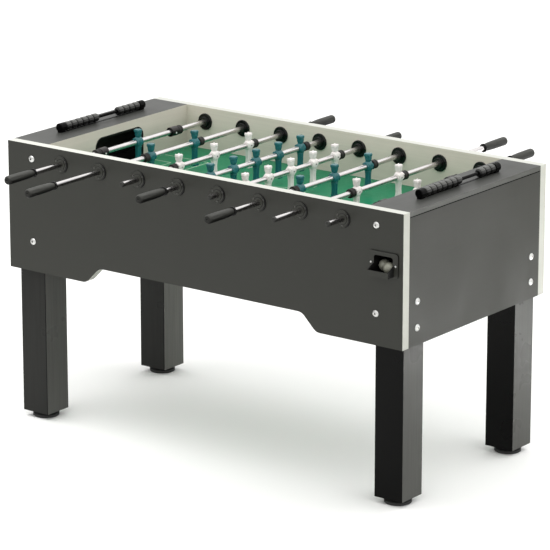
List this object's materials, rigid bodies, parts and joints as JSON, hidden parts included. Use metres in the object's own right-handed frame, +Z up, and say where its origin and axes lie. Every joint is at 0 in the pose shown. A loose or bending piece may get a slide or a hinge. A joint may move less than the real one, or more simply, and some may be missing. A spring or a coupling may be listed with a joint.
{
  "type": "foosball table",
  "caption": "Table football game on four square legs: player rods slide and spin over a green field, with goals, ball returns and bead scorers at the ends.",
  "frame": {"origin": "on the floor under the middle of the table", "axes": "+X along the table towards the right-hand goal, +Y across it away from the near side, +Z up"},
  "size_m": [1.482, 1.39, 0.917],
  "materials": {
    "charcoal_panel": "charcoal wood-look laminate on board, dull with a fine grain",
    "grey_ledge": "grey wood-look laminate on board, dull with a fine grain",
    "pale_board": "pale grey-green laminate, satin",
    "field_green": "green printed laminate with pale markings, satin",
    "pine": "bare softwood",
    "leg_black": "near-black laminate on board, satin",
    "foot_black": "black moulded foot, dull",
    "bearing_black": "black nylon, satin",
    "screw_steel": "zinc-plated steel",
    "bolt_steel": "bright plated steel",
    "cup_black": "black moulded plastic, satin",
    "chute_black": "black moulded plastic, dull",
    "ball_white": "off-white plastic ball, lightly scuffed",
    "scorer_black": "black moulded plastic, satin",
    "bead_black": "black moulded plastic, satin",
    "collar_black": "black moulded plastic, satin",
    "rod_steel": "bright chromed steel tube",
    "team_teal": "teal moulded plastic, satin",
    "team_white": "off-white moulded plastic, satin",
    "bumper_rubber": "black rubber ring, dull",
    "grip_black": "black moulded grip, satin"
  },
  "bodies": {
    "cabinet": {"near_side_panel": "charcoal_panel", "far_side_panel": "charcoal_panel", "end_panels": "charcoal_panel", "goal_walls": "pale_board", "end_ledges": "grey_ledge", "playfield": "field_green", "field_frame": "pine", "corner_blocks": "pine", "near_legs": "leg_black", "far_legs": "leg_black", "bearing_outer_halves": "bearing_black", "bearing_inner_halves": "bearing_black", "bearing_screws": "screw_steel", "cabinet_bolts": "bolt_steel", "ball_return_cups": "cup_black", "ball_chutes": "chute_black", "balls": "ball_white", "scorer_rails": "scorer_black", "scorer_beads": "bead_black"},
    "left_near_foot_body": {"left_near_foot": "foot_black"},
    "right_near_foot_body": {"right_near_foot": "foot_black"},
    "left_far_foot_body": {"left_far_foot": "foot_black"},
    "right_far_foot_body": {"right_far_foot": "foot_black"},
    "left_lead_bead_body": {"left_lead_bead": "bead_black"},
    "right_lead_bead_body": {"right_lead_bead": "bead_black"},
    "rod_1_carriage": {"rod_1_bumpers": "bumper_rubber"},
    "rod_1": {"rod_1_tube": "rod_steel", "rod_1_player": "team_teal", "rod_1_grip": "grip_black", "goalie_1_collars": "collar_black"},
    "rod_2_carriage": {"rod_2_bumpers": "bumper_rubber"},
    "rod_2": {"rod_2_tube": "rod_steel", "rod_2_players": "team_teal", "rod_2_grip": "grip_black"},
    "rod_3_carriage": {"rod_3_bumpers": "bumper_rubber"},
    "rod_3": {"rod_3_tube": "rod_steel", "rod_3_players": "team_white", "rod_3_grip": "grip_black"},
    "rod_4_carriage": {"rod_4_bumpers": "bumper_rubber"},
    "rod_4": {"rod_4_tube": "rod_steel", "rod_4_players": "team_teal", "rod_4_grip": "grip_black"},
    "rod_5_carriage": {"rod_5_bumpers": "bumper_rubber"},
    "rod_5": {"rod_5_tube": "rod_steel", "rod_5_players": "team_white", "rod_5_grip": "grip_black"},
    "rod_6_carriage": {"rod_6_bumpers": "bumper_rubber"},
    "rod_6": {"rod_6_tube": "rod_steel", "rod_6_players": "team_teal", "rod_6_grip": "grip_black"},
    "rod_7_carriage": {"rod_7_bumpers": "bumper_rubber"},
    "rod_7": {"rod_7_tube": "rod_steel", "rod_7_players": "team_white", "rod_7_grip": "grip_black"},
    "rod_8_carriage": {"rod_8_bumpers": "bumper_rubber"},
    "rod_8": {"rod_8_tube": "rod_steel", "rod_8_player": "team_white", "rod_8_grip": "grip_black", "goalie_8_collars": "collar_black"}
  },
  "joints": [
    {"name": "left_near_foot_screw", "type": "slide", "parent": "cabinet", "child": "left_near_foot_body", "axis": [0, 0, -1], "range_m": [0, 0.015]},
    {"name": "right_near_foot_screw", "type": "slide", "parent": "cabinet", "child": "right_near_foot_body", "axis": [0, 0, -1], "range_m": [0, 0.015]},
    {"name": "left_far_foot_screw", "type": "slide", "parent": "cabinet", "child": "left_far_foot_body", "axis": [0, 0, -1], "range_m": [0, 0.015]},
    {"name": "right_far_foot_screw", "type": "slide", "parent": "cabinet", "child": "right_far_foot_body", "axis": [0, 0, -1], "range_m": [0, 0.015]},
    {"name": "left_lead_bead_slide", "type": "slide", "parent": "cabinet", "child": "left_lead_bead_body", "axis": [0, 1, 0], "range_m": [0, 0.096]},
    {"name": "right_lead_bead_slide", "type": "slide", "parent": "cabinet", "child": "right_lead_bead_body", "axis": [0, 1, 0], "range_m": [0, 0.096]},
    {"name": "rod_1_slide", "type": "slide", "parent": "cabinet", "child": "rod_1_carriage", "axis": [0, 1, 0], "range_m": [-0.1171, 0.1171]},
    {"name": "rod_1_spin", "type": "hinge", "parent": "rod_1_carriage", "child": "rod_1", "pos_m": [-0.525, 0, 0.842], "axis": [0, 1, 0], "continuous": true},
    {"name": "rod_2_slide", "type": "slide", "parent": "cabinet", "child": "rod_2_carriage", "axis": [0, 1, 0], "range_m": [-0.1671, 0.1971]},
    {"name": "rod_2_spin", "type": "hinge", "parent": "rod_2_carriage", "child": "rod_2", "pos_m": [-0.375, 0, 0.842], "axis": [0, 1, 0], "continuous": true},
    {"name": "rod_3_slide", "type": "slide", "parent": "cabinet", "child": "rod_3_carriage", "axis": [0, 1, 0], "range_m": [-0.1161, 0.1181]},
    {"name": "rod_3_spin", "type": "hinge", "parent": "rod_3_carriage", "child": "rod_3", "pos_m": [-0.225, 0, 0.842], "axis": [0, 1, 0], "continuous": true},
    {"name": "rod_4_slide", "type": "slide", "parent": "cabinet", "child": "rod_4_carriage", "axis": [0, 1, 0], "range_m": [-0.0781, 0.0521]},
    {"name": "rod_4_spin", "type": "hinge", "parent": "rod_4_carriage", "child": "rod_4", "pos_m": [-0.075, 0, 0.842], "axis": [0, 1, 0], "continuous": true},
    {"name": "rod_5_slide", "type": "slide", "parent": "cabinet", "child": "rod_5_carriage", "axis": [0, 1, 0], "range_m": [-0.0531, 0.0771]},
    {"name": "rod_5_spin", "type": "hinge", "parent": "rod_5_carriage", "child": "rod_5", "pos_m": [0.075, 0, 0.842], "axis": [0, 1, 0], "continuous": true},
    {"name": "rod_6_slide", "type": "slide", "parent": "cabinet", "child": "rod_6_carriage", "axis": [0, 1, 0], "range_m": [-0.1211, 0.1131]},
    {"name": "rod_6_spin", "type": "hinge", "parent": "rod_6_carriage", "child": "rod_6", "pos_m": [0.225, 0, 0.842], "axis": [0, 1, 0], "continuous": true},
    {"name": "rod_7_slide", "type": "slide", "parent": "cabinet", "child": "rod_7_carriage", "axis": [0, 1, 0], "range_m": [-0.1971, 0.1671]},
    {"name": "rod_7_spin", "type": "hinge", "parent": "rod_7_carriage", "child": "rod_7", "pos_m": [0.375, 0, 0.842], "axis": [0, 1, 0], "continuous": true},
    {"name": "rod_8_slide", "type": "slide", "parent": "cabinet", "child": "rod_8_carriage", "axis": [0, 1, 0], "range_m": [-0.1201, 0.1141]},
    {"name": "rod_8_spin", "type": "hinge", "parent": "rod_8_carriage", "child": "rod_8", "pos_m": [0.525, 0, 0.842], "axis": [0, 1, 0], "continuous": true}
  ]
}
